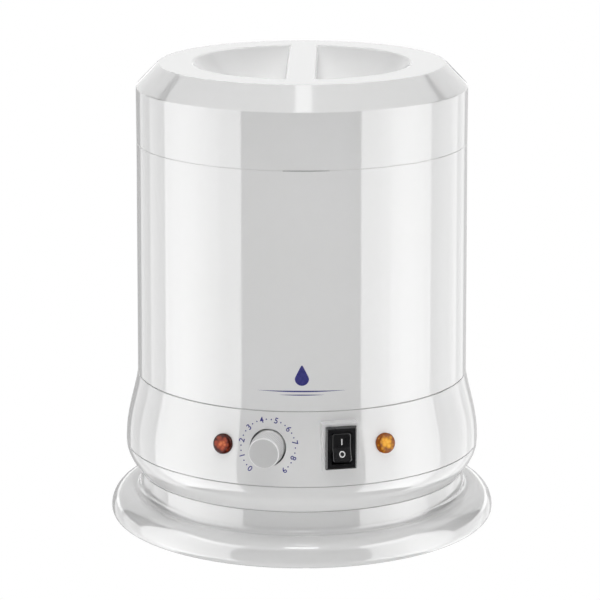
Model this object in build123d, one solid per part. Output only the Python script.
"""Wax warmer pot: an electric pot that melts a litre of depilatory wax on a salon trolley.

From the table up it is a foot ring, a bowl, a bulged control band, a straight shell and a lift-off lid.
The shell holds an insulated aluminium heating pot, and a lift-out wax can with a wire bail stands in it.
Origin: centre of the base on the table. +Z is up and -Y is the front, where the controls are. Millimetres.
An azimuth is measured round the pot from the front, positive towards +X.
"""

from build123d import *
from math import atan, cos, degrees, hypot, radians, sin, sqrt, tan
import os

# ------------------------------------------------------------------ driving dimensions
# The outer stack, from the table up
FEET_STAND_OFF = 1.5
FOOT_RING_HEIGHT = 24.5
BOWL_HEIGHT = 14.5
BAND_HEIGHT = 35.8
SHELL_HEIGHT = 117.2
LID_HEIGHT = 39.0
LID_SIDE_HEIGHT = 27.6

# Radii of the outer stack
BODY_RADIUS = 82.0
SHELL_FLARE = 0.8
BAND_BULGE = 6.2
NECK_STEP = 0.5
FOOT_TUBE_RADIUS = 9.8
FOOT_TUBE_OFFSET = 4.9
FOOT_TUBE_LEVEL = 4.3
FOOT_EDGE_ROUND = 4.0
FOOT_CREASE_ROUND = 3.0
FOOT_LIP = 3.5
LID_SHOULDER = 11.0

# Walls, fits and seams of the plastic mouldings
WALL = 2.5
STATIC_FIT = 0.2
MOVING_FIT = 0.5
SEAM_EASE = 0.2
SEAM_GAP = 0.35
SEAM_DEPTH = 1.0
SPIGOT_HEIGHT = 3.5
SPIGOT_WALL = 1.8

# Lid
DISH_RADIUS = 54.0
DISH_DEPTH = 26.0
LIP_ROUND = 2.0
LID_EDGE_ROUND = 0.8
GRIP_BAR_WIDTH = 15.0
LID_TURN = -0.9
SKIRT_DEPTH = 6.0
SKIRT_WALL = 2.2
LID_RELIEF_WIDTH = 22.0
LID_RELIEF_HEIGHT = 0.5
LID_RELIEF_OFFSET = 2.0

# Collar, heating pot and wax can
RIM_RECESS = 7.0
COLLAR_THICKNESS = 4.0
SEAL_THICKNESS = 1.0
LEDGE_WIDTH = 3.0
INSULATION_SPACE = 11.5
POT_WALL = 1.5
POT_FLANGE_WIDTH = 6.0
POT_FLOOR_LIFT = 9.7
POT_CORNER = 12.0
FLANGE_SCREW_AZIMUTHS = (30, 150, 270)
CAN_GAP = 2.0
CAN_WALL = 1.0
CAN_BEAD_RADIUS = 1.8
CAN_CORNER = 9.0
BAIL_WIRE_RADIUS = 1.5
BAIL_BEND = 3.5
EAR_WIDTH = 14.0
EAR_THICKNESS = 1.4
EAR_RISE = 4.0
RIVET_DROP = 8.0
RIVET_RADIUS = 1.5

# Heater
HEATER_THICKNESS = 1.2
HEATER_HEIGHT = 70.0
HEATER_GAP_ANGLE = 12.0
STRAP_WIDTH = 10.0
STRAP_THICKNESS = 0.6
STRAP_LUG = 6.0
SERVICE_GAP_ANGLE = 56.0
SERVICE_GAP_AZIMUTH = 168.0
BULB_RADIUS = 2.6
BULB_LENGTH = 62.0
BULB_AZIMUTH = 157.0
CAPILLARY_RADIUS = 0.8
CAPILLARY_BEND = 9.0
SHIELD_DROP = 13.0
PILLAR_RADIUS = 2.75
PILLAR_PITCH = 38.0
PILLAR_AZIMUTHS = (60, 180, 300)

# Controls on the band
CONTROL_HEIGHT = 18.8
KNOB_AZIMUTH = -10.9
SWITCH_AZIMUTH = 12.0
RED_LAMP_AZIMUTH = -25.8
AMBER_LAMP_AZIMUTH = 27.4
KNOB_RADIUS = 8.2
KNOB_FACE_RADIUS = 7.5
KNOB_EDGE_ROUND = 0.4
KNOB_PROUD = 10.0
KNOB_SUNK = 5.0
KNOB_GAP = 0.7
SHAFT_RADIUS = 3.0
SHAFT_FLAT = 1.5
SHAFT_FIT = 0.02
THERMOSTAT_WIDTH = 24.0
THERMOSTAT_DEPTH = 20.0
THERMOSTAT_HEIGHT = 22.0
THERMOSTAT_DROP = -3.0
BRACKET_WIDTH = 14.0
BRACKET_THICKNESS = 1.2
BRACKET_SCREW_SETBACK = 8.0
LAMP_LENS_RADIUS = 5.0
LAMP_BODY_RADIUS = 4.2
SWITCH_WIDTH = 15.0
SWITCH_HEIGHT = 21.0
SWITCH_BEZEL = 2.0
SWITCH_LIFT = 0.8
SWITCH_PAD_MARGIN = 1.5
ROCKER_WIDTH = 9.0
ROCKER_LENGTH = 13.8
ROCKER_TILT = 11.0
ROCKER_PIVOT_DEPTH = -0.4
ROCKER_CORNER_ROUND = 1.2
INLET_WIDTH = 30.7
INLET_HEIGHT = 23.7
INLET_DROP = 0.8
PIN_PLACES = ((-7.0, -2.0), (0.0, 2.0), (7.0, -2.0))

# Fasteners and feet
TIE_BOLT_RADIUS = 2.0
BOSS_RADIUS = 4.5
BOSS_INSET = 7.0
PLATE_THICKNESS = 2.5
RUBBER_FOOT_RADIUS = 7.5
RUBBER_FOOT_INSET = 6.0

# Terminal block and leads
BLOCK_Y = 34.0
BLOCK_BORE_X = 11.0
BLOCK_BORE_LIFT = 6.0
LEAD_RADIUS = 0.9
LEAD_BEND = 5.0

# ------------------------------------------------------------------ places worked out from them
FOOT_TOP = FEET_STAND_OFF + FOOT_RING_HEIGHT
BOWL_TOP = FOOT_TOP + BOWL_HEIGHT
BAND_TOP = BOWL_TOP + BAND_HEIGHT
SHELL_TOP = BAND_TOP + SHELL_HEIGHT
LID_TOP = SHELL_TOP + LID_HEIGHT

SHELL_FOOT_RADIUS = BODY_RADIUS + SHELL_FLARE
BAND_RADIUS = SHELL_FOOT_RADIUS + BAND_BULGE
NECK_RADIUS = SHELL_FOOT_RADIUS - NECK_STEP
SHELL_INNER_RADIUS = BODY_RADIUS - WALL
TIE_RADIUS = SHELL_INNER_RADIUS - BOSS_INSET
TIE_AZIMUTHS = (45, 135, 225, 315)

COLLAR_TOP = SHELL_TOP - RIM_RECESS
COLLAR_BOTTOM = COLLAR_TOP - COLLAR_THICKNESS
POT_OUTER_RADIUS = SHELL_INNER_RADIUS - INSULATION_SPACE
POT_INNER_RADIUS = POT_OUTER_RADIUS - POT_WALL
POT_FLOOR = BAND_TOP + POT_FLOOR_LIFT
POT_UNDERSIDE = POT_FLOOR - POT_WALL
FLANGE_RADIUS = POT_OUTER_RADIUS + POT_FLANGE_WIDTH
FLANGE_BOTTOM = COLLAR_TOP - POT_WALL
FLANGE_SCREW_RADIUS = POT_OUTER_RADIUS + POT_FLANGE_WIDTH / 2

CAN_RADIUS = POT_INNER_RADIUS - CAN_GAP
BEAD_CENTRE_RADIUS = CAN_RADIUS - CAN_WALL + CAN_BEAD_RADIUS
BEAD_HEIGHT = COLLAR_TOP + CAN_BEAD_RADIUS + 0.6
PIVOT_HEIGHT = BEAD_HEIGHT + CAN_BEAD_RADIUS + BAIL_WIRE_RADIUS + 0.3
EAR_OUTER_X = sqrt((CAN_RADIUS - CAN_WALL) ** 2 - (EAR_WIDTH / 2) ** 2) - 0.3
BAIL_SIDE_X = CAN_RADIUS + 2.2
RIVET_HEIGHT = BEAD_HEIGHT - RIVET_DROP

HEATER_RADIUS = POT_OUTER_RADIUS + 0.1
STRAP_RADIUS = HEATER_RADIUS + HEATER_THICKNESS + 0.1
SLEEVE_INNER_RADIUS = STRAP_RADIUS + STRAP_THICKNESS + 0.3
SLEEVE_OUTER_RADIUS = SHELL_INNER_RADIUS - 1.5
SLEEVE_BOTTOM = BAND_TOP + 15.5
SLEEVE_TOP = COLLAR_BOTTOM - WALL - 2.0
HEATER_BOTTOM = POT_FLOOR + POT_CORNER
SHIELD_TOP = POT_UNDERSIDE - SHIELD_DROP

CONTROL_LEVEL = BOWL_TOP + CONTROL_HEIGHT
SWITCH_LEVEL = CONTROL_LEVEL + SWITCH_LIFT
INLET_LEVEL = CONTROL_LEVEL - INLET_DROP
SWITCH_FACE = BAND_RADIUS
INLET_FACE = BAND_RADIUS + 0.5
SWITCH_BODY_WIDTH = SWITCH_WIDTH - 2.0
SWITCH_BODY_HEIGHT = SWITCH_HEIGHT - 2.0
INLET_BODY_WIDTH = INLET_WIDTH - 3.7
INLET_BODY_HEIGHT = INLET_HEIGHT - 4.1
ROCKER_OPENING_WIDTH = ROCKER_WIDTH + 2 * 0.3
ROCKER_OPENING_LENGTH = ROCKER_LENGTH + 2 * 0.9
LAMP_AZIMUTHS = (RED_LAMP_AZIMUTH, AMBER_LAMP_AZIMUTH)

PLATE_BOTTOM = FEET_STAND_OFF + 0.5
PLATE_TOP = PLATE_BOTTOM + PLATE_THICKNESS
SHELF_TOP = FOOT_TOP - 4.0
SHELF_BOTTOM = SHELF_TOP - 3.0
PLATE_SCREW_AZIMUTHS = (0, 90, 180, 270)
PLATE_RADIUS = NECK_RADIUS - WALL - STATIC_FIT
RUBBER_PITCH = TIE_RADIUS - RUBBER_FOOT_INSET
BLOCK_BORE_Z = PLATE_TOP + BLOCK_BORE_LIFT


# ------------------------------------------------------------------ helpers
def polar(radius, azimuth, z):
    """A point on the pot's own cylindrical grid."""
    return Vector(radius * sin(radians(azimuth)), -radius * cos(radians(azimuth)), z)


def facing(radius, azimuth, z, tilt=0.0):
    """A plane that looks outwards from the axis: x to the right, y up, z out and raised by the tilt."""
    a, t = radians(azimuth), radians(tilt)
    outwards = (sin(a) * cos(t), -cos(a) * cos(t), sin(t))
    return Plane(origin=polar(radius, azimuth, z), x_dir=(cos(a), sin(a), 0), z_dir=outwards)


def section(points, rounds=()):
    """A half section drawn as (radius, height) points, with the named corners rounded."""
    face = make_face(Polyline(*points, close=True))
    for corner, radius in rounds:
        face = fillet(face.vertices().sort_by_distance((*corner, 0))[0], radius)
    return face


def turned(face):
    """The half section turned once round the vertical axis."""
    return revolve(Plane.XZ * face, Axis.Z)


def ring(inner, outer, bottom, top):
    return turned(section([(inner, bottom), (outer, bottom), (outer, top), (inner, top)]))


def eased(solid, radius, z):
    """The circular edge at that radius and height gets a small chamfer, one side of a seam line."""
    circles = solid.edges().filter_by(GeomType.CIRCLE)
    return chamfer(circles.sort_by_distance((radius, 0, z))[0], SEAM_EASE)


def stepped(solid, radius, z):
    """The lower outside edge of an upper part is cut back, so that a fine shadow line shows at the seam."""
    return eased(solid - ring(radius - SEAM_DEPTH, radius + 2, z, z + SEAM_GAP), radius, z + SEAM_GAP)


def post(radius, bottom, top, place=(0, 0)):
    """A plain upright cylinder between two heights."""
    cylinder = Cylinder(radius, top - bottom, align=(Align.CENTER, Align.CENTER, Align.MIN))
    return Pos(place[0], place[1], bottom) * cylinder


def upright_box(width, depth, height):
    """A box centred on the axis that stands on z = 0."""
    return Box(width, depth, height, align=(Align.CENTER, Align.CENTER, Align.MIN))


def posts(radius, bottom, top, pitch_radius, azimuths):
    """The same upright cylinder at each azimuth on a pitch circle, as one list."""
    places = [polar(pitch_radius, azimuth, 0) for azimuth in azimuths]
    return [post(radius, bottom, top, (place.X, place.Y)) for place in places]


def wedge(azimuth, angle, reach, bottom, top):
    """A prism from the axis outwards that covers an angle, to open a ring."""
    half = angle / 2
    corners = [polar(reach, azimuth + turn, bottom) for turn in (-half, half)]
    sector = make_face(Polyline((0, 0, bottom), *corners, close=True))
    return extrude(sector, top - bottom, dir=(0, 0, 1))


def block(width, height, depth, front=0.0):
    """A block in a facing plane: centred across, its front face at the given distance out."""
    return Pos(0, 0, front) * Box(width, height, depth, align=(Align.CENTER, Align.CENTER, Align.MAX))


def disc(radius, depth, front=0.0):
    """A cylinder along the outward axis of a facing plane, its front face at the given distance out."""
    return Pos(0, 0, front) * Cylinder(radius, depth, align=(Align.CENTER, Align.CENTER, Align.MAX))


def band_point(t):
    """(radius, height) on the control band's outer curve, from its top at t = 0 to its foot at t = 1."""
    radii = (SHELL_FOOT_RADIUS, SHELL_FOOT_RADIUS + 0.39 * BAND_BULGE, BAND_RADIUS, BAND_RADIUS)
    levels = (BAND_TOP, BAND_TOP - 0.39 * BAND_HEIGHT, BOWL_TOP + 0.42 * BAND_HEIGHT, BOWL_TOP)
    weights = ((1 - t) ** 3, 3 * t * (1 - t) ** 2, 3 * t * t * (1 - t), t**3)
    return sum(w * r for w, r in zip(weights, radii)), sum(w * z for w, z in zip(weights, levels))


def band_radius(z):
    """The band's outer radius at a height, found by halving."""
    low, high = 0.0, 1.0
    for _ in range(40):
        middle = (low + high) / 2
        if band_point(middle)[1] > z:
            low = middle
        else:
            high = middle
    return band_point(low)[0]


def band_tilt(z):
    """How far the band's surface looks upwards at a height, in degrees."""
    return degrees(atan(band_radius(z - 0.5) - band_radius(z + 0.5)))


def band_curve(inset):
    """The band's outer curve from top to foot, moved inwards."""
    control = (
        (SHELL_FOOT_RADIUS - inset, BAND_TOP),
        (SHELL_FOOT_RADIUS + 0.39 * BAND_BULGE - inset, BAND_TOP - 0.39 * BAND_HEIGHT),
        (BAND_RADIUS - inset, BOWL_TOP + 0.42 * BAND_HEIGHT),
        (BAND_RADIUS - inset, BOWL_TOP),
    )
    return Bezier(*control)


def bowl_curve(inset):
    """The bowl's outer curve from its rim to the neck, moved inwards."""
    control = (
        (BAND_RADIUS - inset, BOWL_TOP),
        (BAND_RADIUS - inset, BOWL_TOP - 0.36 * BOWL_HEIGHT),
        (BAND_RADIUS - inset - 3.2, BOWL_TOP - 0.66 * BOWL_HEIGHT),
        (NECK_RADIUS - inset, FOOT_TOP),
    )
    return Bezier(*control)


def curved_wall(curve):
    """A turned wall between an outer curve and the same curve one wall further in."""
    outer, inner = curve(0), curve(WALL)
    head = Line(outer @ 0, inner @ 0)
    tail = Line(outer @ 1, inner @ 1)
    return turned(make_face([outer, tail, inner, head]))


def tube_along(path, radius):
    """A round bar swept along a path."""
    start = Plane(origin=path @ 0, z_dir=path % 0)
    return sweep(start * Circle(radius), path=path)


def rod_between(start, end, radius):
    """A straight round bar from one point to another."""
    run = Vector(*end) - Vector(*start)
    rod = Cylinder(radius, run.length, align=(Align.CENTER, Align.CENTER, Align.MIN))
    return Plane(origin=start, z_dir=run.normalized()) * rod


# ------------------------------------------------------------------ places on the band's slope
KNOB_SEAT = band_radius(CONTROL_LEVEL)
THERMOSTAT_FRONT = KNOB_SEAT - WALL - KNOB_SUNK - 1.5
THERMOSTAT_BACK = THERMOSTAT_FRONT - THERMOSTAT_DEPTH


# ------------------------------------------------------------------ lid
def grip_relief():
    """The shallow slit in the lid seam at the front, half in the lid and half in the shell."""
    slit = Box(LID_RELIEF_WIDTH, 2 * (WALL - 0.6), LID_RELIEF_HEIGHT)
    return Pos(LID_RELIEF_OFFSET, -BODY_RADIUS, SHELL_TOP) * slit


def lid_shell():
    """The lid: one moulding with a bevelled shoulder, a sunk dish and a bar across it to lift it by."""
    shoulder = SHELL_TOP + LID_SIDE_HEIGHT
    top_radius = BODY_RADIUS - LID_SHOULDER
    skin = turned(section(
        [(0, SHELL_TOP), (BODY_RADIUS, SHELL_TOP), (BODY_RADIUS, shoulder),
         (top_radius, LID_TOP), (0, LID_TOP)],
        [((BODY_RADIUS, shoulder), LID_EDGE_ROUND), ((top_radius, LID_TOP), LID_EDGE_ROUND)],
    ))
    skin = eased(skin, BODY_RADIUS, SHELL_TOP)

    ball = (DISH_RADIUS**2 + DISH_DEPTH**2) / (2 * DISH_DEPTH)
    centre = LID_TOP - DISH_DEPTH + ball
    dish = Pos(0, 0, centre) * Sphere(ball)
    dish &= post(DISH_RADIUS + 1, LID_TOP - DISH_DEPTH - 1, LID_TOP + 0.5)
    bar = upright_box(GRIP_BAR_WIDTH, 2 * BODY_RADIUS, DISH_DEPTH + 3)
    skin -= dish - Pos(0, 0, LID_TOP - DISH_DEPTH - 1) * bar
    flat_edges = [e for e in skin.edges() if abs((e @ 0.5).Z - LID_TOP) < 0.01]
    lip = [e for e in flat_edges if hypot((e @ 0.5).X, (e @ 0.5).Y) < DISH_RADIUS + 0.1]
    skin = fillet(lip, LIP_ROUND)

    inner_shoulder = shoulder - WALL * tan(radians(25))
    hollow_top = LID_TOP - WALL
    hollow = turned(section([
        (0, SHELL_TOP - 1), (BODY_RADIUS - WALL, SHELL_TOP - 1), (BODY_RADIUS - WALL, inner_shoulder),
        (top_radius - 1.1, hollow_top), (0, hollow_top),
    ]))
    hollow -= Pos(0, 0, centre) * Sphere(ball + WALL)
    hollow += Pos(0, 0, LID_TOP - DISH_DEPTH - WALL - 1) * upright_box(
        GRIP_BAR_WIDTH - 2 * WALL, 2 * (DISH_RADIUS + 2), DISH_DEPTH + 1)
    skin -= hollow

    skirt_outer = SHELL_INNER_RADIUS - MOVING_FIT
    skirt_inner = skirt_outer - SKIRT_WALL
    root = SHELL_INNER_RADIUS + 0.5
    skirt = turned(section([
        (skirt_inner, SHELL_TOP - SKIRT_DEPTH), (skirt_outer, SHELL_TOP - SKIRT_DEPTH),
        (skirt_outer, SHELL_TOP), (root, SHELL_TOP),
        (root, SHELL_TOP + WALL), (skirt_inner, SHELL_TOP + WALL),
    ]))
    return Rot(0, 0, LID_TURN) * (skin + skirt) - grip_relief()


# ------------------------------------------------------------------ shell and collar
def outer_shell():
    """The straight casing, with a ledge inside for the collar and four screw bosses at its foot."""
    wall = turned(section([
        (SHELL_FOOT_RADIUS - WALL, BAND_TOP), (SHELL_FOOT_RADIUS, BAND_TOP),
        (BODY_RADIUS, SHELL_TOP), (BODY_RADIUS - WALL, SHELL_TOP),
    ]))
    wall = stepped(eased(wall, BODY_RADIUS, SHELL_TOP), SHELL_FOOT_RADIUS, BAND_TOP) - grip_relief()
    ledge_radius = SHELL_INNER_RADIUS - LEDGE_WIDTH
    root = SHELL_INNER_RADIUS + 0.3
    wall += turned(section([
        (root, COLLAR_BOTTOM - WALL - LEDGE_WIDTH), (ledge_radius, COLLAR_BOTTOM - WALL),
        (ledge_radius, COLLAR_BOTTOM), (root, COLLAR_BOTTOM),
    ]))
    boss_bottom = BAND_TOP + SPIGOT_HEIGHT + STATIC_FIT
    for azimuth in TIE_AZIMUTHS:
        place = polar(TIE_RADIUS, azimuth, 0)
        rib = facing(SHELL_FOOT_RADIUS - WALL + 0.6, azimuth, boss_bottom + 5.0)
        rib = rib * block(WALL, 10.0, BOSS_INSET)
        wall += rib
        wall += post(BOSS_RADIUS, boss_bottom, boss_bottom + 10.0, (place.X, place.Y))
        wall -= post(TIE_BOLT_RADIUS + 0.05, boss_bottom - 1, boss_bottom + 8.5, (place.X, place.Y))
    return wall


def top_collar():
    """The heat-resistant ring between the shell and the pot, rebated for the pot's flange."""
    bore = POT_OUTER_RADIUS + MOVING_FIT
    seat = FLANGE_BOTTOM - SEAL_THICKNESS
    rebate = FLANGE_RADIUS + STATIC_FIT
    rim = SHELL_INNER_RADIUS - STATIC_FIT
    collar = turned(section([
        (bore, COLLAR_BOTTOM), (rim, COLLAR_BOTTOM), (rim, COLLAR_TOP),
        (rebate, COLLAR_TOP), (rebate, seat), (bore, seat),
    ]))
    return collar - posts(1.3, COLLAR_BOTTOM - 1, COLLAR_TOP, FLANGE_SCREW_RADIUS, FLANGE_SCREW_AZIMUTHS)


def pot_seal():
    """The silicone ring under the pot's flange."""
    bottom = FLANGE_BOTTOM - SEAL_THICKNESS
    seal = ring(POT_OUTER_RADIUS + MOVING_FIT, FLANGE_RADIUS, bottom, FLANGE_BOTTOM)
    return seal - posts(1.7, bottom - 1, FLANGE_BOTTOM + 1, FLANGE_SCREW_RADIUS, FLANGE_SCREW_AZIMUTHS)


def heating_pot():
    """The drawn aluminium pot that hangs by its flange and carries the heater."""
    pot = turned(section(
        [(0, POT_UNDERSIDE), (POT_OUTER_RADIUS, POT_UNDERSIDE), (POT_OUTER_RADIUS, FLANGE_BOTTOM),
         (FLANGE_RADIUS, FLANGE_BOTTOM), (FLANGE_RADIUS, COLLAR_TOP), (POT_INNER_RADIUS, COLLAR_TOP),
         (POT_INNER_RADIUS, POT_FLOOR), (0, POT_FLOOR)],
        [((POT_OUTER_RADIUS, POT_UNDERSIDE), POT_CORNER),
         ((POT_INNER_RADIUS, POT_FLOOR), POT_CORNER - POT_WALL),
         ((POT_INNER_RADIUS, COLLAR_TOP), 1.0)],
    ))
    return pot - posts(1.7, FLANGE_BOTTOM - 1, COLLAR_TOP + 1, FLANGE_SCREW_RADIUS, FLANGE_SCREW_AZIMUTHS)


def flange_screws():
    """Three pan-head screws that hold the pot's flange down on the collar."""
    shanks = posts(1.25, COLLAR_BOTTOM - 2, COLLAR_TOP, FLANGE_SCREW_RADIUS, FLANGE_SCREW_AZIMUTHS)
    heads = posts(2.6, COLLAR_TOP, COLLAR_TOP + 1.6, FLANGE_SCREW_RADIUS, FLANGE_SCREW_AZIMUTHS)
    screws = []
    for shank, head, azimuth in zip(shanks, heads, FLANGE_SCREW_AZIMUTHS):
        slot = facing(FLANGE_SCREW_RADIUS + 4, azimuth, COLLAR_TOP + 1.6) * block(0.8, 1.4, 8.0)
        screws.append(shank + head - slot)
    return Compound(children=screws)


# ------------------------------------------------------------------ wax can and its bail
def wax_can():
    """The spun aluminium can for a litre of wax, with a rolled bead round its mouth."""
    inner = CAN_RADIUS - CAN_WALL
    can = turned(section(
        [(0, POT_FLOOR), (CAN_RADIUS, POT_FLOOR), (CAN_RADIUS, BEAD_HEIGHT),
         (inner, BEAD_HEIGHT), (inner, POT_FLOOR + CAN_WALL), (0, POT_FLOOR + CAN_WALL)],
        [((CAN_RADIUS, POT_FLOOR), CAN_CORNER), ((inner, POT_FLOOR + CAN_WALL), CAN_CORNER - CAN_WALL)],
    ))
    can += turned(Pos(BEAD_CENTRE_RADIUS, BEAD_HEIGHT) * Circle(CAN_BEAD_RADIUS))
    for azimuth in (-90, 90):
        can -= facing(CAN_RADIUS + 2, azimuth, RIVET_HEIGHT) * disc(RIVET_RADIUS + 0.05, 5.0)
    return can


def ear(side):
    """One pivot ear, a flat tab riveted inside the can's wall that stands above the bead."""
    azimuth = 90 * side
    bottom = RIVET_HEIGHT - EAR_WIDTH / 2
    top = PIVOT_HEIGHT + EAR_RISE
    plate = facing(EAR_OUTER_X, azimuth, (bottom + top) / 2) * block(EAR_WIDTH, top - bottom, EAR_THICKNESS)
    plate = fillet(plate.edges().filter_by(Axis.X), EAR_WIDTH / 2 - 3.0)
    plate -= facing(EAR_OUTER_X + 1, azimuth, PIVOT_HEIGHT) * disc(BAIL_WIRE_RADIUS + 0.1, 4.0)
    plate -= facing(EAR_OUTER_X + 1, azimuth, RIVET_HEIGHT) * disc(RIVET_RADIUS + 0.05, 4.0)
    return plate


def can_ears():
    return Compound(children=[ear(-1), ear(1)])


def can_rivets():
    """One domed rivet for each ear, through the ear and the can's wall."""
    rivets = []
    inner_face = EAR_OUTER_X - EAR_THICKNESS
    for azimuth in (-90, 90):
        place = facing(CAN_RADIUS, azimuth, RIVET_HEIGHT)
        depth = CAN_RADIUS - inner_face
        shank = disc(RIVET_RADIUS, depth + 1.0, 0.5)
        outer_head = disc(2.6, 0.7, 0.75)
        inner_head = disc(2.8, 1.0, -depth - 0.02)
        rivets.append(place * (shank + outer_head + inner_head))
    return Compound(children=rivets)


def bail_wire():
    """The wire bail, folded down flat towards the back, its ends turned in through the ears."""
    inner_end = EAR_OUTER_X - EAR_THICKNESS - 3.5
    rise = BAIL_BEND + 0.8
    right = FilletPolyline((inner_end, 0), (BAIL_SIDE_X, 0), (BAIL_SIDE_X, rise), radius=BAIL_BEND)
    arch = ThreePointArc((BAIL_SIDE_X, rise), (0, rise + BAIL_SIDE_X), (-BAIL_SIDE_X, rise))
    left = FilletPolyline((-BAIL_SIDE_X, rise), (-BAIL_SIDE_X, 0), (-inner_end, 0), radius=BAIL_BEND)
    path = Wire([*right.edges(), *arch.edges(), *left.edges()])
    return Pos(0, 0, PIVOT_HEIGHT) * tube_along(path, BAIL_WIRE_RADIUS)


# ------------------------------------------------------------------ heater, sensor and insulation
def heater_band():
    """The mica band heater round the pot, open at the back."""
    top = HEATER_BOTTOM + HEATER_HEIGHT
    band = ring(HEATER_RADIUS, HEATER_RADIUS + HEATER_THICKNESS, HEATER_BOTTOM, top)
    return band - wedge(180, HEATER_GAP_ANGLE, BODY_RADIUS, HEATER_BOTTOM - 1, top + 1)


def strap_level():
    return HEATER_BOTTOM + HEATER_HEIGHT / 2


def strap_lug_x():
    return (STRAP_RADIUS + STRAP_THICKNESS) * sin(radians(HEATER_GAP_ANGLE / 2))


def heater_strap():
    """The steel strap that clamps the heater, with a bent lug at each end."""
    bottom = strap_level() - STRAP_WIDTH / 2
    strap = ring(STRAP_RADIUS, STRAP_RADIUS + STRAP_THICKNESS, bottom, bottom + STRAP_WIDTH)
    strap -= wedge(180, HEATER_GAP_ANGLE, BODY_RADIUS, bottom - 1, bottom + STRAP_WIDTH + 1)
    for side in (-1, 1):
        lug = Box(1.2, STRAP_LUG, STRAP_WIDTH, align=(Align.CENTER, Align.MIN, Align.CENTER))
        strap += Pos(side * (strap_lug_x() + 0.2), STRAP_RADIUS - 0.4, strap_level()) * lug
    hole = Rot(0, 90, 0) * Cylinder(1.6, 4 * strap_lug_x())
    return strap - Pos(0, STRAP_RADIUS + STRAP_LUG / 2 + 0.4, strap_level()) * hole


def strap_screw():
    """The clamp screw through both lugs, with its nut."""
    y = STRAP_RADIUS + STRAP_LUG / 2 + 0.4
    face = strap_lug_x() + 0.8
    shank = rod_between((-face - 3.2, y, strap_level()), (face + 0.5, y, strap_level()), 1.5)
    head = rod_between((face, y, strap_level()), (face + 2.0, y, strap_level()), 2.5)
    nut = Pos(-face, y, strap_level()) * Rot(0, -90, 0) * extrude(RegularPolygon(2.8, 6), 2.2)
    return shank + head + nut


def insulation_sleeve():
    """The glass-wool jacket round the heater, open at the back for the strap, the bulb and the leads."""
    sleeve = ring(SLEEVE_INNER_RADIUS, SLEEVE_OUTER_RADIUS, SLEEVE_BOTTOM, SLEEVE_TOP)
    gap = wedge(SERVICE_GAP_AZIMUTH, SERVICE_GAP_ANGLE, 2 * BODY_RADIUS, SLEEVE_BOTTOM - 1, SLEEVE_TOP + 1)
    return sleeve - gap


def insulation_pad():
    """The ceramic-fibre pad under the pot, with a hole for the thermal cut-out."""
    pad = ring(16.0, POT_OUTER_RADIUS - POT_CORNER, SHIELD_TOP + 3.0, POT_UNDERSIDE - 0.2)
    return pad - posts(PILLAR_RADIUS + 0.3, SHIELD_TOP, POT_UNDERSIDE, PILLAR_PITCH, PILLAR_AZIMUTHS)


def thermal_cutout():
    """The snap-disc cut-out held against the pot's floor, which opens if the thermostat fails."""
    body = post(8.0, POT_UNDERSIDE - 9.0, POT_UNDERSIDE - 0.1)
    flange = Pos(0, 0, POT_UNDERSIDE - 2.5) * Box(25.0, 9.0, 1.0)
    blades = [Pos(side * 4.5, 0, POT_UNDERSIDE - 11.0) * Box(0.8, 4.8, 5.0) for side in (-1, 1)]
    return body + flange + blades


def heat_shield():
    """The aluminium disc that keeps the pot's heat off the controls, hung from three pillars."""
    shield = ring(10.0, TIE_RADIUS - BOSS_RADIUS - 1.0, SHIELD_TOP - 1.0, SHIELD_TOP)
    return shield - posts(1.65, SHIELD_TOP - 2, SHIELD_TOP + 1, PILLAR_PITCH, PILLAR_AZIMUTHS)


def shield_pillars():
    """Three threaded pillars from the pot's floor, stepped where the shield sits on them."""
    thick = posts(PILLAR_RADIUS, SHIELD_TOP, POT_UNDERSIDE - 0.02, PILLAR_PITCH, PILLAR_AZIMUTHS)
    thin = posts(1.5, SHIELD_TOP - 4.6, SHIELD_TOP + 0.5, PILLAR_PITCH, PILLAR_AZIMUTHS)
    return Compound(children=[low + high for low, high in zip(thin, thick)])


def shield_nuts():
    """The nuts that hold the shield up on its pillars."""
    nut = extrude(RegularPolygon(3.1, 6), 2.4) - Cylinder(1.52, 10.0)
    places = [polar(PILLAR_PITCH, azimuth, SHIELD_TOP - 1.02 - 2.4) for azimuth in PILLAR_AZIMUTHS]
    return Compound(children=[Pos(*place) * nut for place in places])


def bulb_place():
    return polar(STRAP_RADIUS + STRAP_THICKNESS + BULB_RADIUS + 0.4, BULB_AZIMUTH, 0)


def sensor_bulb():
    """The thermostat's fluid-filled bulb, clipped upright in the service gap."""
    place = bulb_place()
    bulb = post(BULB_RADIUS, HEATER_BOTTOM, HEATER_BOTTOM + BULB_LENGTH, (place.X, place.Y))
    return fillet(bulb.edges().group_by(Axis.Z)[-1], 1.5)


def capillary_tube():
    """The copper capillary from the bulb down under the shield and across to the thermostat."""
    start = bulb_place()
    low = SHIELD_TOP - 5.0
    back = facing(THERMOSTAT_BACK, KNOB_AZIMUTH, low)
    end, turn = [back.origin + back.x_dir * 10.5 - back.z_dir * reach for reach in (0.05, 20.0)]
    points = [(start.X, start.Y, HEATER_BOTTOM), (start.X, start.Y, low), tuple(turn), tuple(end)]
    return tube_along(FilletPolyline(*points, radius=CAPILLARY_BEND), CAPILLARY_RADIUS)


# ------------------------------------------------------------------ control band and what it carries
def lamp_place(azimuth):
    """The lamps look square out of the band's slope."""
    return facing(KNOB_SEAT, azimuth, CONTROL_LEVEL, band_tilt(CONTROL_LEVEL))


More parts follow.
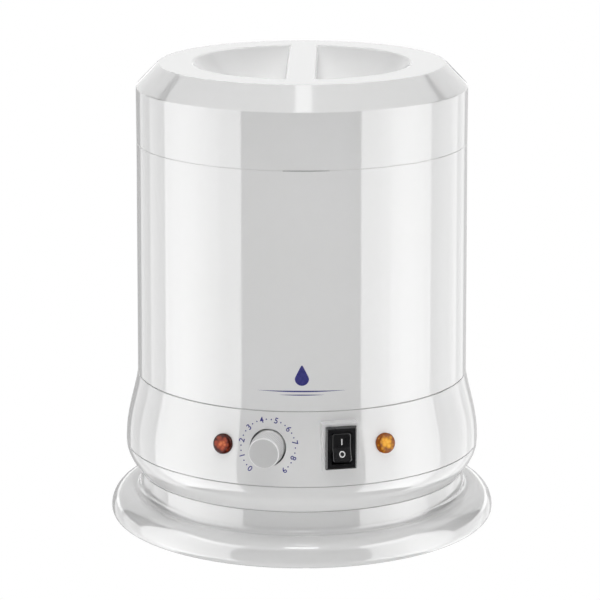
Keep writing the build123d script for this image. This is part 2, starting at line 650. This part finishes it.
def control_band():
    """The bulged band that carries every control, with a flat pad behind the switch and the inlet."""
    band = curved_wall(band_curve)
    band = stepped(eased(band, SHELL_FOOT_RADIUS, BAND_TOP), BAND_RADIUS, BOWL_TOP)
    spigot_outer = SHELL_FOOT_RADIUS - WALL - STATIC_FIT
    band += ring(spigot_outer - SPIGOT_WALL, spigot_outer, BAND_TOP - 3.0, BAND_TOP + SPIGOT_HEIGHT)
    band += turned(section([
        (spigot_outer - SPIGOT_WALL, BAND_TOP - 3.0), (SHELL_FOOT_RADIUS - 1.0, BAND_TOP - 3.0),
        (SHELL_FOOT_RADIUS - 1.0, BAND_TOP - 0.8), (spigot_outer - SPIGOT_WALL, BAND_TOP - 0.8)]))
    switch_pad = block(SWITCH_WIDTH + 2 * SWITCH_PAD_MARGIN, SWITCH_HEIGHT + 2 * SWITCH_PAD_MARGIN, 6.0)
    inlet_pad = block(INLET_WIDTH + 1.4, INLET_HEIGHT + 1.4, 6.0)
    band += switch_place() * fillet(switch_pad.edges().filter_by(Axis.Z), 0.8)
    band += inlet_place() * fillet(inlet_pad.edges().filter_by(Axis.Z), 1.5)
    band -= switch_place() * block(
        SWITCH_BODY_WIDTH + 2 * STATIC_FIT, SWITCH_BODY_HEIGHT + 2 * STATIC_FIT, 20.0, 1.0)
    band -= inlet_place() * block(
        INLET_BODY_WIDTH + 2 * STATIC_FIT, INLET_BODY_HEIGHT + 2 * STATIC_FIT, 20.0, 1.0)
    band -= facing(KNOB_SEAT + 5, KNOB_AZIMUTH, CONTROL_LEVEL) * disc(KNOB_RADIUS + KNOB_GAP, 20.0)
    for azimuth in LAMP_AZIMUTHS:
        band -= lamp_place(azimuth) * disc(LAMP_BODY_RADIUS + STATIC_FIT, 10.0, 5.0)
    boss_bottom = BOWL_TOP + SPIGOT_HEIGHT + STATIC_FIT
    boss_top = BAND_TOP + SPIGOT_HEIGHT
    for azimuth in TIE_AZIMUTHS:
        place = polar(TIE_RADIUS, azimuth, 0)
        rib_reach = band_radius(BOWL_TOP + 8.0) - WALL - TIE_RADIUS + 0.6
        rib = facing(TIE_RADIUS + rib_reach, azimuth, boss_bottom + 7.0) * block(WALL, 14.0, rib_reach)
        band += rib
        band += post(BOSS_RADIUS, boss_bottom, boss_top, (place.X, place.Y))
        band -= post(TIE_BOLT_RADIUS + 0.2, boss_bottom - 1, boss_top + 1, (place.X, place.Y))
    return band


def knob():
    """The tapered thermostat knob, sunk through a round hole in the band."""
    place = facing(KNOB_SEAT, KNOB_AZIMUTH, CONTROL_LEVEL)
    back = -WALL - KNOB_SUNK
    profile = section(
        [(0, back), (KNOB_RADIUS, back), (KNOB_RADIUS, 0), (KNOB_FACE_RADIUS, KNOB_PROUD), (0, KNOB_PROUD)],
        [((KNOB_FACE_RADIUS, KNOB_PROUD), KNOB_EDGE_ROUND)],
    )
    body = revolve(Plane.XZ * profile, Axis.Z)
    socket = Cylinder(SHAFT_RADIUS + SHAFT_FIT, 9.0, align=(Align.CENTER, Align.CENTER, Align.MIN))
    flat = Pos(0, SHAFT_FLAT + SHAFT_FIT, 0) * Box(8, 3, 20, align=(Align.CENTER, Align.MIN, Align.CENTER))
    body -= Pos(0, 0, back - 0.01) * (socket - flat)
    return place * body


def thermostat_shaft():
    """The thermostat's D-shaped shaft, pressed into the knob."""
    place = facing(KNOB_SEAT, KNOB_AZIMUTH, CONTROL_LEVEL)
    back = THERMOSTAT_FRONT - KNOB_SEAT - 4.0
    front = -WALL - KNOB_SUNK + 8.5
    shaft = disc(SHAFT_RADIUS, front - back, front)
    flat_from = -WALL - KNOB_SUNK - 0.5
    shaft -= Pos(0, SHAFT_FLAT, flat_from) * Box(8, 3, 20, align=(Align.CENTER, Align.MIN, Align.MIN))
    return place * shaft


def thermostat_body():
    """The capillary thermostat's case, bored for its shaft, with two terminal blades."""
    place = facing(THERMOSTAT_FRONT, KNOB_AZIMUTH, CONTROL_LEVEL)
    case = block(THERMOSTAT_WIDTH, THERMOSTAT_HEIGHT, THERMOSTAT_DEPTH)
    case = Pos(0, THERMOSTAT_DROP, 0) * fillet(case.edges().filter_by(Axis.Z), 2.0)
    case -= disc(SHAFT_RADIUS + 0.08, 5.0)
    back = -THERMOSTAT_DEPTH
    blades = [Pos(side * 10.0, THERMOSTAT_DROP, back) * block(0.8, 6.3, 8.0) for side in (-1, 1)]
    return place * (case + blades)


def thermostat_bracket():
    """The folded steel strap that holds the thermostat up from the base plate."""
    top = CONTROL_LEVEL + THERMOSTAT_DROP + THERMOSTAT_HEIGHT / 2
    place = facing(THERMOSTAT_BACK - 0.05, KNOB_AZIMUTH, PLATE_TOP)
    centred_below = (Align.CENTER, Align.MIN, Align.MAX)
    upright = Box(BRACKET_WIDTH, top - PLATE_TOP, BRACKET_THICKNESS, align=centred_below)
    foot = Box(BRACKET_WIDTH, BRACKET_THICKNESS, 14.0, align=centred_below)
    hole = Pos(0, 0, -BRACKET_SCREW_SETBACK) * Rot(90, 0, 0) * Cylinder(1.6, 10.0)
    return place * (upright + foot - hole)


def bracket_screw_place():
    spot = polar(THERMOSTAT_BACK - 0.05 - BRACKET_SCREW_SETBACK, KNOB_AZIMUTH, 0)
    return spot.X, spot.Y


def bracket_screw():
    """The screw that comes up through the base plate into the bracket's foot, with its nut."""
    place = bracket_screw_place()
    shank = post(1.5, PLATE_BOTTOM + 0.2, PLATE_TOP + 5.0, place)
    head = post(2.8, PLATE_BOTTOM + 0.05, PLATE_BOTTOM + 1.1, place)
    nut = Pos(*place, PLATE_TOP + BRACKET_THICKNESS + 0.02) * extrude(RegularPolygon(3.0, 6), 2.4)
    return shank + head + nut


def lamp_lens(azimuth):
    """A neon lamp's coloured lens: a flange on the band and a low rounded dome."""
    profile = section(
        [(0, 0.05), (LAMP_LENS_RADIUS, 0.05), (LAMP_LENS_RADIUS, 2.2), (0, 2.2)],
        [((LAMP_LENS_RADIUS, 2.2), 1.4)],
    )
    return lamp_place(azimuth) * revolve(Plane.XZ * profile, Axis.Z)


def lamp_body(azimuth):
    """The lamp's barrel behind the band, with its two lead blades."""
    barrel = disc(LAMP_BODY_RADIUS, 20.0)
    blades = [Pos(side * 2.0, 0, -20.0) * block(0.6, 2.8, 6.0) for side in (-1, 1)]
    return lamp_place(azimuth) * (barrel + blades)


def lamp_nuts():
    """The spring nuts that hold the two lamps from behind."""
    nut = disc(LAMP_BODY_RADIUS + 2.4, 1.2, -WALL - 0.6) - disc(LAMP_BODY_RADIUS + 0.02, 3.0, -WALL)
    return Compound(children=[lamp_place(azimuth) * nut for azimuth in LAMP_AZIMUTHS])


# ------------------------------------------------------------------ rocker switch
def switch_place():
    return facing(SWITCH_FACE, SWITCH_AZIMUTH, SWITCH_LEVEL)


def switch_body():
    """The switch's case and bezel, with the well that the rocker pivots in."""
    bezel = block(SWITCH_WIDTH, SWITCH_HEIGHT, SWITCH_BEZEL, SWITCH_BEZEL + 0.02)
    bezel = chamfer(bezel.faces().sort_by(Axis.Z)[-1].outer_wire().edges(), 0.7)
    case = block(SWITCH_BODY_WIDTH, SWITCH_BODY_HEIGHT, 14.0, 0.5)
    well = block(ROCKER_OPENING_WIDTH, ROCKER_OPENING_LENGTH, SWITCH_BEZEL + 6.5, SWITCH_BEZEL + 0.1)
    pin_hole = Pos(0, 0, ROCKER_PIVOT_DEPTH) * Rot(0, 90, 0) * Cylinder(1.06, ROCKER_WIDTH + 2.2)
    blades = [Pos(0, y, -13.5) * block(4.8, 0.8, 8.0) for y in (-4.0, 4.0)]
    return switch_place() * (bezel + case + blades - well - pin_hole)


def rocker():
    """The rocker in its on position: upper half pressed in, lower half standing out."""
    half = ROCKER_LENGTH / 2
    dip = SWITCH_BEZEL + 0.5 - ROCKER_PIVOT_DEPTH
    end = dip + half * tan(radians(ROCKER_TILT))
    foot = -2.6
    outline = Polyline((-half, foot), (half, foot), (half, end), (0, dip), (-half, end), close=True)
    paddle = extrude(Plane.YZ * make_face(outline), ROCKER_WIDTH / 2, both=True)
    paddle = fillet(paddle.edges().filter_by(Axis.Z), ROCKER_CORNER_ROUND)
    tips = [e for e in paddle.edges() if (e @ 0.5).Z > dip + 0.5 and abs((e @ 0.5).Y) > half - 1.0]
    paddle = fillet(tips, 0.5)
    pin = Rot(0, 90, 0) * Cylinder(1.0, ROCKER_WIDTH + 2.0)
    return switch_place() * Pos(0, 0, ROCKER_PIVOT_DEPTH) * Rot(-ROCKER_TILT, 0, 0) * (paddle + pin)


# ------------------------------------------------------------------ mains inlet
def inlet_place():
    return facing(INLET_FACE, 180, INLET_LEVEL)


def inlet_housing():
    """The three-pin appliance inlet at the back, snapped into the band."""
    flange = block(INLET_WIDTH, INLET_HEIGHT, 3.0, 3.02)
    flange = fillet(flange.edges().filter_by(Axis.Z), 2.0)
    case = block(INLET_BODY_WIDTH, INLET_BODY_HEIGHT, 20.0, 0.5)
    well = block(24.6, 16.6, 17.0, 3.1)
    well = chamfer(well.edges().filter_by(Axis.Z).group_by(Axis.Y)[-1], 4.0)
    housing = flange + case - well
    for x, y in PIN_PLACES:
        housing -= Pos(x, y, 0) * block(2.1, 4.1, 40.0, 3.0)
    return inlet_place() * housing


def inlet_pins():
    """Line, earth and neutral pins, each one blade through the housing's floor."""
    pins = [Pos(x, y, 0) * block(2.0, 4.0, 28.0, 0.5) for x, y in PIN_PLACES]
    return Compound(children=[inlet_place() * pin for pin in pins])


# ------------------------------------------------------------------ bowl, foot ring and underside
def base_bowl():
    """The bowl that tucks in under the band, with spigot and bosses."""
    bowl = curved_wall(bowl_curve)
    bowl = stepped(eased(bowl, BAND_RADIUS, BOWL_TOP), NECK_RADIUS, FOOT_TOP)
    spigot_outer = BAND_RADIUS - WALL - STATIC_FIT
    bowl += ring(spigot_outer - SPIGOT_WALL, spigot_outer, BOWL_TOP - 3.0, BOWL_TOP + SPIGOT_HEIGHT)
    bowl += ring(spigot_outer - SPIGOT_WALL, BAND_RADIUS - 1.2, BOWL_TOP - 3.0, BOWL_TOP - 0.8)
    boss_bottom = FOOT_TOP + SPIGOT_HEIGHT + STATIC_FIT
    boss_top = BOWL_TOP + SPIGOT_HEIGHT
    for azimuth in TIE_AZIMUTHS:
        place = polar(TIE_RADIUS, azimuth, 0)
        reach = BAND_RADIUS - WALL - TIE_RADIUS - 0.5
        bowl += facing(TIE_RADIUS + reach, azimuth, BOWL_TOP - 1.0) * block(WALL, 7.0, reach)
        bowl += post(BOSS_RADIUS, boss_bottom, boss_top, (place.X, place.Y))
        bowl -= post(TIE_BOLT_RADIUS + 0.2, boss_bottom - 1, boss_top + 1, (place.X, place.Y))
    return bowl


def foot_ring():
    """The round foot: a neck, a hollow rounded skirt and the shelf that the tie bolts pull against."""
    bottom = FEET_STAND_OFF
    tube_centre = NECK_RADIUS + FOOT_TUBE_OFFSET
    tube_level = bottom + FOOT_TUBE_LEVEL
    channel_reach = tube_centre + 3.0
    edge_reach = tube_centre + sqrt(FOOT_TUBE_RADIUS**2 - FOOT_TUBE_LEVEL**2)
    crease_level = tube_level + sqrt(FOOT_TUBE_RADIUS**2 - FOOT_TUBE_OFFSET**2)

    tube = Pos(tube_centre, tube_level) * Circle(FOOT_TUBE_RADIUS)
    neck = section([
        (NECK_RADIUS - WALL, bottom), (NECK_RADIUS, bottom),
        (NECK_RADIUS, FOOT_TOP), (NECK_RADIUS - WALL, FOOT_TOP)])
    inside = section([
        (0, bottom - 1), (NECK_RADIUS - WALL, bottom - 1), (NECK_RADIUS - WALL, FOOT_TOP), (0, FOOT_TOP)])
    below = section([
        (0, bottom - 20), (2 * BODY_RADIUS, bottom - 20), (2 * BODY_RADIUS, bottom), (0, bottom)])
    outline = tube + neck - below - inside
    corners = {(edge_reach, bottom): FOOT_EDGE_ROUND, (NECK_RADIUS, crease_level): FOOT_CREASE_ROUND}
    for corner, size in corners.items():
        outline = fillet(outline.vertices().sort_by_distance((*corner, 0))[0], size)

    lip = section([
        (channel_reach, bottom - 1), (2 * BODY_RADIUS, bottom - 1),
        (2 * BODY_RADIUS, bottom + FOOT_LIP), (channel_reach, bottom + FOOT_LIP)])
    hollow = Pos(tube_centre, tube_level) * Circle(FOOT_TUBE_RADIUS - WALL) - lip - neck - inside
    channel = section([
        (NECK_RADIUS, bottom - 1), (channel_reach, bottom - 1),
        (channel_reach, tube_level), (NECK_RADIUS, tube_level)])
    foot = eased(turned(outline - hollow - channel), NECK_RADIUS, FOOT_TOP)
    spigot_outer = NECK_RADIUS - WALL - STATIC_FIT
    foot += ring(spigot_outer - SPIGOT_WALL, spigot_outer, SHELF_BOTTOM, FOOT_TOP + SPIGOT_HEIGHT)
    foot += ring(TIE_RADIUS - BOSS_RADIUS, NECK_RADIUS - 1.0, SHELF_BOTTOM, SHELF_TOP)
    foot += posts(BOSS_RADIUS, SHELF_BOTTOM, FOOT_TOP + SPIGOT_HEIGHT, TIE_RADIUS, TIE_AZIMUTHS)
    foot += posts(BOSS_RADIUS - 0.5, PLATE_TOP, SHELF_TOP, TIE_RADIUS, PLATE_SCREW_AZIMUTHS)
    foot -= posts(TIE_BOLT_RADIUS + 0.2, SHELF_BOTTOM - 1, FOOT_TOP + 10, TIE_RADIUS, TIE_AZIMUTHS)
    foot -= posts(1.55, PLATE_TOP - 1, PLATE_TOP + 12.0, TIE_RADIUS, PLATE_SCREW_AZIMUTHS)
    return foot


def tie_bolts():
    """Four long screws from the foot ring's shelf up into the shell's bosses."""
    top = BAND_TOP + SPIGOT_HEIGHT + STATIC_FIT + 8.0
    shanks = posts(TIE_BOLT_RADIUS, SHELF_BOTTOM - 0.5, top, TIE_RADIUS, TIE_AZIMUTHS)
    heads = posts(TIE_BOLT_RADIUS * 1.9, SHELF_BOTTOM - 3.0, SHELF_BOTTOM - 0.02, TIE_RADIUS, TIE_AZIMUTHS)
    return Compound(children=[shank + head for shank, head in zip(shanks, heads)])


def base_plate():
    """The plate that closes the underside, with vent slots, countersunk screw holes and foot sockets."""
    plate = post(PLATE_RADIUS, PLATE_BOTTOM, PLATE_TOP)
    plate -= posts(1.8, PLATE_BOTTOM - 1, PLATE_TOP + 1, TIE_RADIUS, PLATE_SCREW_AZIMUTHS)
    plate -= posts(3.4, PLATE_BOTTOM - 1, PLATE_BOTTOM + 1.2, TIE_RADIUS, PLATE_SCREW_AZIMUTHS)
    plate -= posts(3.1, PLATE_BOTTOM - 1, PLATE_TOP + 1, RUBBER_PITCH, TIE_AZIMUTHS)
    plate -= post(1.6, PLATE_BOTTOM - 1, PLATE_TOP + 1, bracket_screw_place())
    plate -= post(3.0, PLATE_BOTTOM - 1, PLATE_BOTTOM + 1.15, bracket_screw_place())
    slot = Pos(0, 0, PLATE_BOTTOM - 1) * extrude(SlotOverall(26.0, 2.6), PLATE_THICKNESS + 2)
    for row in range(-3, 4):
        plate -= Pos(0, row * 7.0, 0) * slot
    return plate


def plate_screws():
    """Four screws that hold the base plate up to the foot ring."""
    shanks = posts(1.5, PLATE_BOTTOM + 0.2, PLATE_TOP + 11.0, TIE_RADIUS, PLATE_SCREW_AZIMUTHS)
    heads = posts(3.1, PLATE_BOTTOM - 0.6, PLATE_BOTTOM + 1.18, TIE_RADIUS, PLATE_SCREW_AZIMUTHS)
    return Compound(children=[shank + head for shank, head in zip(shanks, heads)])


def rubber_feet():
    """Four push-in rubber feet that the pot stands on."""
    pads = posts(RUBBER_FOOT_RADIUS, 0, PLATE_BOTTOM - 0.02, RUBBER_PITCH, TIE_AZIMUTHS)
    plugs = posts(3.0, 0.5, PLATE_TOP + 0.6, RUBBER_PITCH, TIE_AZIMUTHS)
    barbs = posts(3.9, PLATE_TOP + 0.05, PLATE_TOP + 1.2, RUBBER_PITCH, TIE_AZIMUTHS)
    return Compound(children=[pad + plug + barb for pad, plug, barb in zip(pads, plugs, barbs)])


def terminal_block():
    """The porcelain terminal block on the base plate where the leads meet."""
    body = Pos(0, BLOCK_Y, PLATE_TOP + 0.02) * upright_box(36.0, 20.0, 14.0)
    for x in (-BLOCK_BORE_X, 0.0, BLOCK_BORE_X):
        body -= Pos(x, BLOCK_Y, BLOCK_BORE_Z) * Rot(90, 0, 0) * Cylinder(2.0, 30.0)
        body -= post(2.1, BLOCK_BORE_Z, PLATE_TOP + 20.0, (x, BLOCK_Y))
    return body


def terminal_screws():
    """The clamping screws in the terminal block."""
    places = [(x, BLOCK_Y) for x in (-BLOCK_BORE_X, 0.0, BLOCK_BORE_X)]
    return Compound(children=[post(1.9, BLOCK_BORE_Z + 2.5, BLOCK_BORE_Z + 6.5, place) for place in places])


# ------------------------------------------------------------------ internal leads
def lead(*points):
    return tube_along(FilletPolyline(*points, radius=LEAD_BEND), LEAD_RADIUS)


def beside(place, x, y, z):
    """A point given in a facing plane's own coordinates, as pot coordinates."""
    return tuple(place.origin + place.x_dir * x + place.y_dir * y + place.z_dir * z)


def inlet_lead(pin, *rest):
    """A lead from the back of one inlet pin, bent down or up inside the band."""
    x, y = PIN_PLACES[pin]
    return lead(beside(inlet_place(), x, y, -27.52), beside(inlet_place(), x, y, -38.0), *rest)


def live_leads():
    """Brown leads: inlet to block, block to switch, switch to thermostat."""
    switch, thermostat = switch_place(), facing(THERMOSTAT_BACK, KNOB_AZIMUTH, CONTROL_LEVEL)
    tail = BLOCK_Y + 14.0
    to_block = inlet_lead(
        0, (BLOCK_BORE_X, tail + 4, BLOCK_BORE_Z), (BLOCK_BORE_X, BLOCK_Y + 6, BLOCK_BORE_Z))
    to_switch = lead(
        (BLOCK_BORE_X, BLOCK_Y - 6, BLOCK_BORE_Z), (BLOCK_BORE_X, BLOCK_Y - 24, BLOCK_BORE_Z),
        beside(switch, 0, -4.0, -40.0), beside(switch, 0, -4.0, -21.52))
    to_thermostat = lead(
        beside(switch, 0, 4.0, -21.52), beside(switch, 0, 4.0, -44.0),
        beside(thermostat, 10.0, THERMOSTAT_DROP, -22.0), beside(thermostat, 10.0, THERMOSTAT_DROP, -8.02))
    return Compound(children=[to_block, to_switch, to_thermostat])


def heater_leads():
    """White fibreglass leads: thermostat to cut-out, cut-out to heater, heater to block."""
    thermostat = facing(THERMOSTAT_BACK, KNOB_AZIMUTH, CONTROL_LEVEL)
    blade_z = POT_UNDERSIDE - 13.52
    to_cutout = lead(
        beside(thermostat, -10.0, THERMOSTAT_DROP, -8.02),
        beside(thermostat, -10.0, THERMOSTAT_DROP, -24.0),
        (-4.5, 0, CONTROL_LEVEL - 8.0), (-4.5, 0, blade_z))
    rise = [polar(SLEEVE_INNER_RADIUS + 2.0, azimuth, 0) for azimuth in (144.0, 149.5)]
    level = HEATER_BOTTOM + 8.0
    to_heater = lead(
        (4.5, 0, blade_z), (4.5, 0, CONTROL_LEVEL + 2.0),
        (rise[0].X, rise[0].Y, CONTROL_LEVEL + 6.0), (rise[0].X, rise[0].Y, level))
    from_heater = lead(
        (rise[1].X, rise[1].Y, level), (rise[1].X, rise[1].Y, CONTROL_LEVEL + 1.0),
        (-BLOCK_BORE_X, BLOCK_Y - 22, CONTROL_LEVEL - 6.0), (-BLOCK_BORE_X, BLOCK_Y - 22, BLOCK_BORE_Z),
        (-BLOCK_BORE_X, BLOCK_Y - 6, BLOCK_BORE_Z))
    return Compound(children=[to_cutout, to_heater, from_heater])


def neutral_lead():
    """The blue lead from the inlet to the block."""
    tail = BLOCK_Y + 18.0
    return inlet_lead(2, (-BLOCK_BORE_X, tail, BLOCK_BORE_Z), (-BLOCK_BORE_X, BLOCK_Y + 6, BLOCK_BORE_Z))


def earth_lead():
    """The green and yellow lead from the inlet's earth pin up to the shield."""
    x, y = PIN_PLACES[1]
    turn = beside(inlet_place(), x, y, -38.0)
    return inlet_lead(1, (turn[0], turn[1], SHIELD_TOP - 1.02))


# ------------------------------------------------------------------ write every sub-part
NODES = {
    "lid_shell": lid_shell,
    "outer_shell": outer_shell,
    "top_collar": top_collar,
    "pot_seal": pot_seal,
    "heating_pot": heating_pot,
    "flange_screws": flange_screws,
    "wax_can": wax_can,
    "can_ears": can_ears,
    "can_rivets": can_rivets,
    "bail_wire": bail_wire,
    "heater_band": heater_band,
    "heater_strap": heater_strap,
    "strap_screw": strap_screw,
    "insulation_sleeve": insulation_sleeve,
    "insulation_pad": insulation_pad,
    "thermal_cutout": thermal_cutout,
    "heat_shield": heat_shield,
    "shield_pillars": shield_pillars,
    "shield_nuts": shield_nuts,
    "sensor_bulb": sensor_bulb,
    "capillary_tube": capillary_tube,
    "control_band": control_band,
    "knob": knob,
    "thermostat_shaft": thermostat_shaft,
    "thermostat_body": thermostat_body,
    "thermostat_bracket": thermostat_bracket,
    "bracket_screw": bracket_screw,
    "red_lamp_lens": lambda: lamp_lens(RED_LAMP_AZIMUTH),
    "red_lamp_body": lambda: lamp_body(RED_LAMP_AZIMUTH),
    "amber_lamp_lens": lambda: lamp_lens(AMBER_LAMP_AZIMUTH),
    "amber_lamp_body": lambda: lamp_body(AMBER_LAMP_AZIMUTH),
    "lamp_nuts": lamp_nuts,
    "switch_body": switch_body,
    "rocker": rocker,
    "inlet_housing": inlet_housing,
    "inlet_pins": inlet_pins,
    "base_bowl": base_bowl,
    "foot_ring": foot_ring,
    "tie_bolts": tie_bolts,
    "base_plate": base_plate,
    "plate_screws": plate_screws,
    "rubber_feet": rubber_feet,
    "terminal_block": terminal_block,
    "terminal_screws": terminal_screws,
    "live_leads": live_leads,
    "heater_leads": heater_leads,
    "neutral_lead": neutral_lead,
    "earth_lead": earth_lead,
}

os.makedirs("parts", exist_ok=True)
for name, make in NODES.items():
    shape = make()
    export_step(shape, f"parts/{name}.step")
    print(name, len(shape.solids()), "solids", round(shape.volume), "mm3")
